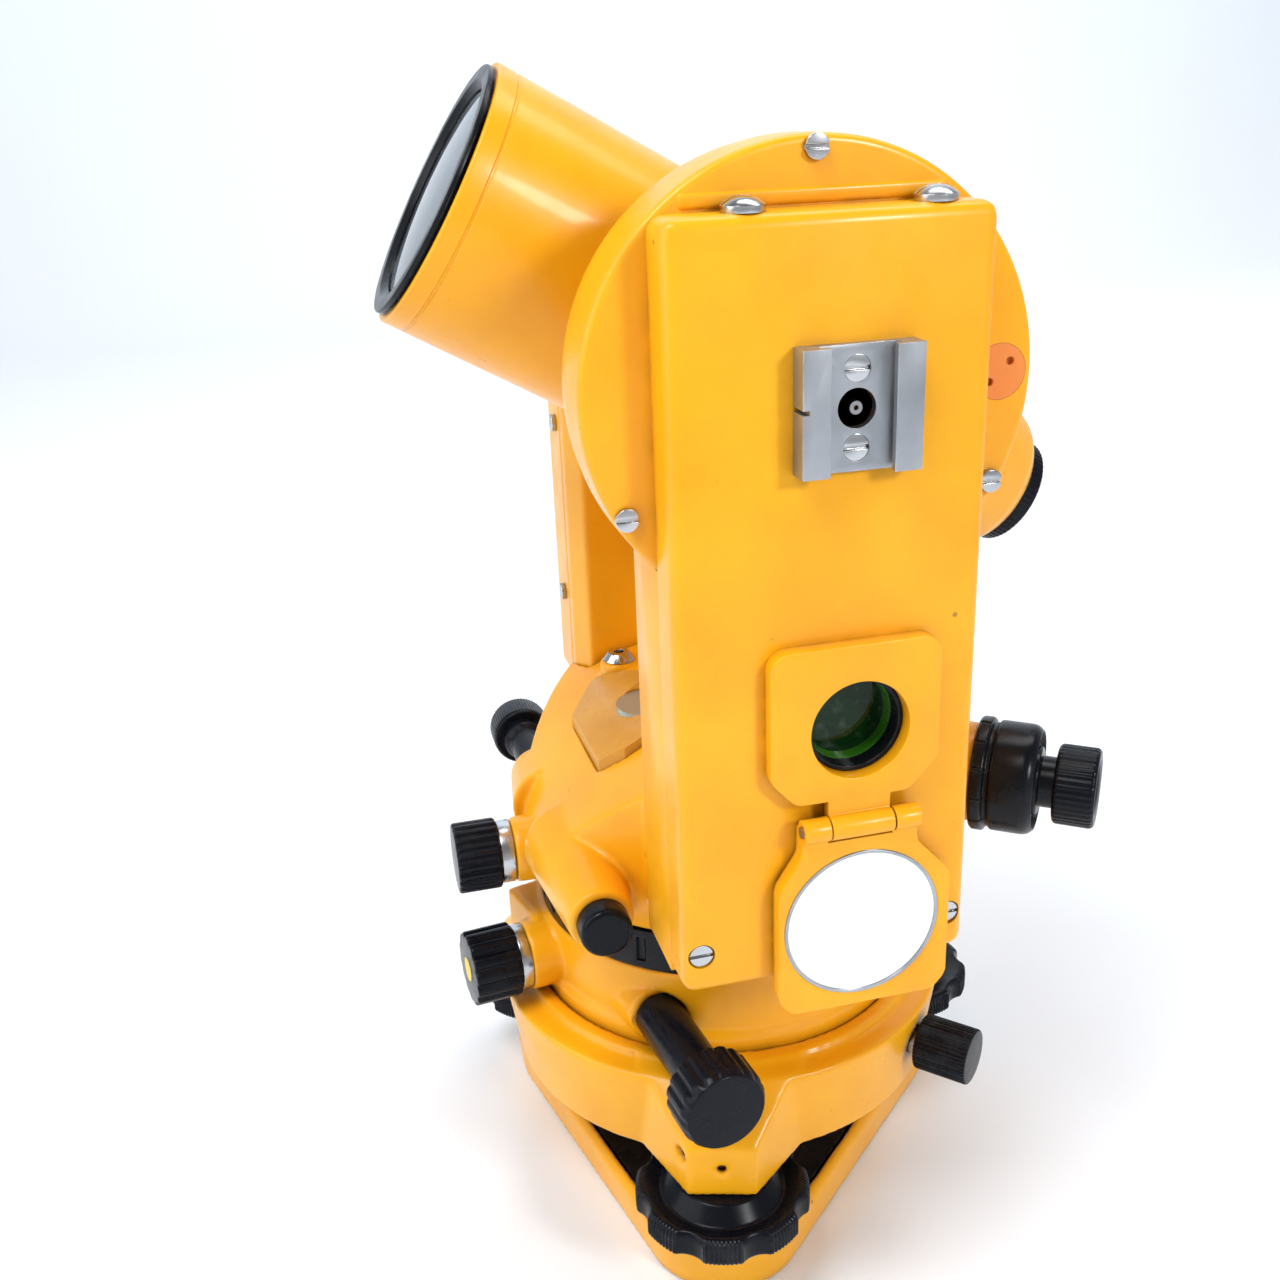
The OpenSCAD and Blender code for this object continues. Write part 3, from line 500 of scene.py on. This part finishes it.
# Round cover of the vertical circle, with the ledge behind the box's top edge.
disc = turned("circle_cover_round", [
    (0, 0), (DISC_R - 0.6, 0, 0.3), (DISC_R, 0.5), (DISC_R, DISC_FRONT - DISC_BACK, 1.8),
    (0, DISC_FRONT - DISC_BACK)
], aim((0, -DISC_BACK, TRUNNION_H), (0, -1, 0)), 160)
PLUG_X = 40
cut(disc, rod(5.8, (PLUG_X, -DISC_FRONT - 3, TRUNNION_H), (PLUG_X, -DISC_FRONT + 3, TRUNNION_H), 48))
smooth(disc)
stand_for(disc, "circle_cover")
add_on(block("cover_ledge", (-27, -DISC_FRONT - 0.45, BOX_TOP + 0.2),
             (27, -DISC_FRONT + 1.6, BOX_TOP + 3.6), 1.4), "alidade", ENAMEL)

# Rim round the mirror.
add_on(turned("mirror_edge", [(17.0, 86.3), (17.0, 88.0, 0.2), (17.75, 88.05, 0.2), (17.75, 86.3)],
              aim((WINDOW[0] + 0.8, 0, 130.8), (0, -1, 0))), "mirror", SHOE)

# Footscrew knobs.
FOOT_PCR = 63.4
FOOT_R = 22.2
foot_profile = [
    (4.05, 35), (19.5, 35, 0.6), (FOOT_R, 36.3, 0.8), (FOOT_R, 41.6, 1.2), (20.4, 43, 1.0),
    (15.8, 41.4, 0.8), (12.2, 45.7, 0.6), (4.05, 45.7)
]
for side, turn in (("front", 253), ("right", 13), ("left", 133)):
    outward = Matrix.Rotation(math.radians(turn), 4, "Z")
    knob = turned("footscrew_" + side, foot_profile, aim(along(turn) * FOOT_PCR, (0, 0, 1)) @ outward,
                  760, scallops(FOOT_R, 6.0, 1.8))
    stand_for(knob, "footscrew_knob_" + side)

# Clamp and tangent knobs.
LOWER_CLAMP = aim((0, 0, 83), along(187))
DRIVE_X, DRIVE_Z = -44, 118.5
KNOBS = {
    "upper_clamp_knob": (aim((0, 0, 112), (-1, 0, 0)), grip(61.2, 72.8, 9.4, 3),
                         ribs(22, 0.55, 8.2, 9.4, 2)),
    "lower_clamp_knob": (LOWER_CLAMP, grip(60.7, 73.3, 10, 3),
                         ribs(14, 0.9, 8.6, 10, 2.5)),
    "lower_tangent_knob": (aim((-29.5, -35, 81.5), along(-82.4)), [
        (0, 5.9), (6.2, 5.9, 0.4), (6.2, 34, 0.8), (8.6, 36, 0.8), (10.8, 36, 0.8),
        (10.8, 45, 1.0), (9.7, 46.9, 0.4), (0, 46.9)
    ], ribs(18, 0.55, 9.75, 10.8, 2.5)),
    "tribrach_clamp_knob": (aim((0, 0, 60.5), along(-47)), grip(62.6, 77, 7.4, 4.05, 0.7),
                            ribs(44, 0.26, 6.6, 7.4)),
    "upper_tangent_knob": (aim((DRIVE_X, 0, DRIVE_Z), (0, 1, 0)), [
        (0, 31.2), (4.8, 31.2, 0.3), (4.8, 50, 0.5), (6.2, 52, 0.5), (6.2, 55), (8.3, 55, 0.5),
        (8.9, 56.2, 0.4), (8.9, 65, 0.8), (7, 66, 0.6), (5.5, 65.4, 0.4), (0, 65.4)
    ], ribs(60, 0.16, 8.2, 8.9)),
    "upper_spring_cap": (aim((DRIVE_X, -51.6, DRIVE_Z), (0, -1, 0)), [
        (0, 0), (6.3, 0, 0.2), (6.3, 5.2, 1.0), (5.4, 6.0, 0.4), (0, 6.35)
    ], None),
    "vertical_clamp_knob": (aim((29, 54, 205), (1, 0, 0)), grip(4.6, 17.6, 9, 3),
                            ribs(22, 0.5, 7.9, 9, 2)),
    "vertical_tangent_knob": (aim((29, 54, 178), (1, 0, 0)), [
        (0, 4.6), (4.6, 4.6, 0.3), (4.6, 15, 0.6), (7.8, 16, 0.6), (9, 16.6, 0.4), (9, 28, 0.9),
        (0, 28)
    ], ribs(22, 0.5, 7.9, 9, 2)),
    "micrometer_knob": (aim((12, 62, 228), (0, 1, 0)), grip(2.4, 13, 12, 3, 1.2),
                        ribs(70, 0.18, 11.2, 12)),
}
for node_name, (place, profile, shape) in KNOBS.items():
    stand_for(turned(node_name + "_turned", profile, place, 240 if shape else 96, shape), node_name)

add_on(turned("clamp_dot", [(0, 73.32), (3.3, 73.32, 0.1), (3.3, 73.5, 0.1), (0, 73.5)],
              LOWER_CLAMP, 48), "lower_clamp", YELLOW_DOT)

# Telescope: barrel with a fine groove behind its rim, its black inside and the end pieces.
TELESCOPE = Vector((-math.cos(ELEVATION), 0, math.sin(ELEVATION)))
on_axis = aim((0, 0, TRUNNION_H), TELESCOPE)
stand_for(turned("telescope_barrel", [
    (7, -HOUSING), (15.5, -HOUSING, 0.6), (18.5, -HOUSING + 3, 1.5), (24, -75, 4), (28.5, -62, 4),
    (BARREL_R, -50, 3), (BARREL_R, OBJECTIVE - 5.4), (BARREL_R - 0.3, OBJECTIVE - 5.1),
    (BARREL_R - 0.3, OBJECTIVE - 4.7), (BARREL_R, OBJECTIVE - 4.4),
    (BARREL_R, OBJECTIVE - 0.1, 0.6), (29.8, OBJECTIVE, 0.2), (27.5, OBJECTIVE - 0.4),
    (27.5, OBJECTIVE - 8), (25, OBJECTIVE - 10), (25, 40), (0, 40)
], on_axis, 160), "telescope_tube")
stand_for(turned("front_lens", [
    (0, OBJECTIVE + 1.5), (6, OBJECTIVE + 1.42), (12, OBJECTIVE + 1.15), (18, OBJECTIVE + 0.7),
    (23.9, OBJECTIVE + 0.1), (23.9, OBJECTIVE - 6), (0, OBJECTIVE - 6)
], on_axis, 128), "objective_lens")
stand_for(turned("bezel_ring", [
    (27.5, OBJECTIVE - 8), (27.5, OBJECTIVE + 0.8), (29.6, OBJECTIVE + 0.8),
    (29.6, OBJECTIVE + 1.8, 0.5), (26.2, OBJECTIVE + 1.8, 0.3), (24.4, OBJECTIVE + 0.5),
    (23.95, OBJECTIVE - 6), (25.2, OBJECTIVE - 8)
], on_axis, 128, closed=True), "objective_bezel")
add_on(turned("barrel_inside", [(24.95, OBJECTIVE - 10), (24.7, 40.2), (0, 40.2)], on_axis),
       "telescope", LACQUER)
stand_for(turned("focusing_grip", [
    (7.1, -96.85), (13.2, -96.85, 0.4), (14, -96.2, 0.4), (14, -92.5, 0.4), (13.4, -92, 0.3),
    (7.1, -91.95)
], on_axis, 240, ribs(60, 0.18, 13.2, 14)), "focusing_ring")
stand_for(turned("eyepiece_grip", [
    (4, -97.9), (4.4, -98.45, 0.2), (8.4, -98.45, 0.3), (9, -98.1, 0.3), (9, -97.3, 0.2), (4, -97.05)
], on_axis, 200, ribs(40, 0.2, 8.2, 9)), "eyepiece_ring")
add_on(turned("eyepiece_lens", [(0, -97.9), (4.2, -98.2), (4.2, -97.2), (0, -97.2)], on_axis, 48),
       "eyepiece", LENS)

# Optical plummet: stepped flange with index notches, drum and focusing eyepiece.
plummet = aim((0, 0, 137.5), along(-37.3))


def notches(angle, r, z):
    return r - 0.5 if r > 13.2 and z < 74.2 and (math.degrees(angle) % 30) < 3 else r


stand_for(turned("plummet_drum", [
    (0, 70), (14.0, 70.6, 0.3), (14.4, 71.2, 0.4), (14.4, 73.6, 0.6), (13.2, 74.2, 0.2),
    (13.2, 75, 0.2), (13.9, 75.6, 0.5), (13.9, 84.2, 1.6), (12.3, 86, 0.5), (12, 84.6, 0.2),
    (8.6, 84.6, 0.2), (8.4, 86.2, 0.4), (6.4, 86.4, 0.3), (6.4, 98), (0, 98)
], plummet, 240, notches), "plummet_tube")
stand_for(turned("plummet_grip", [
    (6.5, 90), (9.4, 90, 0.4), (10, 90.8, 0.4), (10, 99.2, 0.5), (9.2, 100, 0.4), (6.8, 99.6, 0.4),
    (5.0, 98.6), (5.0, 97.8), (6.45, 97.8)
], plummet, 200, ribs(40, 0.2, 9.2, 10), closed=True), "plummet_eyepiece")
add_on(turned("plummet_lens", [(0, 98.5), (5.0, 98.1), (5.0, 97.9), (0, 97.9)], plummet, 48),
       "plummet_focus", LENS)


# ---- stage, light and camera ----

def stage():
    """A pale floor that curves up into a wall behind the instrument."""
    sweep = bmesh.new()
    half, near, back, bend, top = 4.0, -4.0, 2.2, 0.6, 4.0
    outline = [(near, 0.0), (back - bend, 0.0)]
    outline += [(back - bend + bend * math.sin(t), bend - bend * math.cos(t))
                for t in [math.pi / 2 * k / 24 for k in range(1, 25)]]
    outline += [(back, top)]
    left = [sweep.verts.new((-half, y, z)) for y, z in outline]
    right = [sweep.verts.new((half, y, z)) for y, z in outline]
    for k in range(len(outline) - 1):
        sweep.faces.new((left[k], right[k], right[k + 1], left[k + 1]))
    floor = add_mesh("floor", sweep)
    floor.data.shade_smooth()
    n = Nodes("pale_floor")
    height = n.add("ShaderNodeSeparateXYZ", Vector=n.place).outputs["Z"]
    ground = n.mix(n.noise(3, 2), rgb(0.9, 0.93, 0.97), rgb(0.88, 0.91, 0.96))
    wall = n.span(height, 0.02, 0.5, 0.0, 1.0)
    n.set(n.shader.inputs["Base Color"], n.mix(wall, ground, rgb(0.84, 0.91, 0.98)))
    n.set(n.shader.inputs["Roughness"], 0.85)
    paint(floor, n.material)


def lamp(name, place, target, size, power):
    data = bpy.data.lights.new(name, "AREA")
    data.shape = "DISK"
    data.size = size
    data.energy = power
    obj = bpy.data.objects.new(name, data)
    obj.location = place
    obj.rotation_mode = "QUATERNION"
    obj.rotation_quaternion = (Vector(target) - Vector(place)).to_track_quat("-Z", "Y")
    bpy.context.scene.collection.objects.link(obj)


def camera():
    """Set at the angle, distance and lens that the picture was taken with."""
    yaw, pitch, roll = (math.radians(a) for a in (13.602, -21.469, -2.334))
    data = bpy.data.cameras.new("camera")
    data.sensor_width = 36.0
    data.lens = 39.23
    data.clip_start = 0.02
    data.clip_end = 50.0
    obj = bpy.data.objects.new("camera", data)
    obj.location = (Vector((-99.126, -328.737, 300.574)) - DATUM) * MM
    turn = (Matrix.Rotation(-yaw, 4, "Z") @ Matrix.Rotation(math.pi / 2 + pitch, 4, "X")
            @ Matrix.Rotation(roll, 4, "Z"))
    obj.rotation_mode = "QUATERNION"
    obj.rotation_quaternion = turn.to_quaternion()
    bpy.context.scene.collection.objects.link(obj)
    bpy.context.scene.camera = obj


def surroundings():
    """White light from all round, weaker towards the top."""
    world = bpy.data.worlds.new("studio")
    world.use_nodes = True
    sky = world.node_tree
    up = sky.nodes.new("ShaderNodeTexCoord").outputs["Generated"]
    split = sky.nodes.new("ShaderNodeSeparateXYZ")
    dome = sky.nodes.new("ShaderNodeMapRange")
    for name, value in (("From Min", 0.05), ("From Max", 0.6), ("To Min", 0.6), ("To Max", 0.2)):
        dome.inputs[name].default_value = value
    sky.links.new(up, split.inputs[0])
    sky.links.new(split.outputs["Z"], dome.inputs["Value"])
    sky.links.new(dome.outputs["Result"], sky.nodes["Background"].inputs["Strength"])
    sky.nodes["Background"].inputs["Color"].default_value = rgb(0.97, 0.985, 1.0)
    bpy.context.scene.world = world


stage()
surroundings()
bpy.context.scene.view_settings.view_transform = "Standard"
CENTRE = (0.0, 0.0, 0.15)
lamp("key", (0.62, -1.15, 0.78), CENTRE, 0.28, 8.8)
lamp("left", (-1.2, -0.15, 0.7), CENTRE, 1.2, 7)
lamp("top", (-0.5, -0.35, 1.2), CENTRE, 0.55, 8)
lamp("wall", (0.7, 0.6, 2.0), (0.7, 2.2, 0.6), 1.8, 36)
camera()
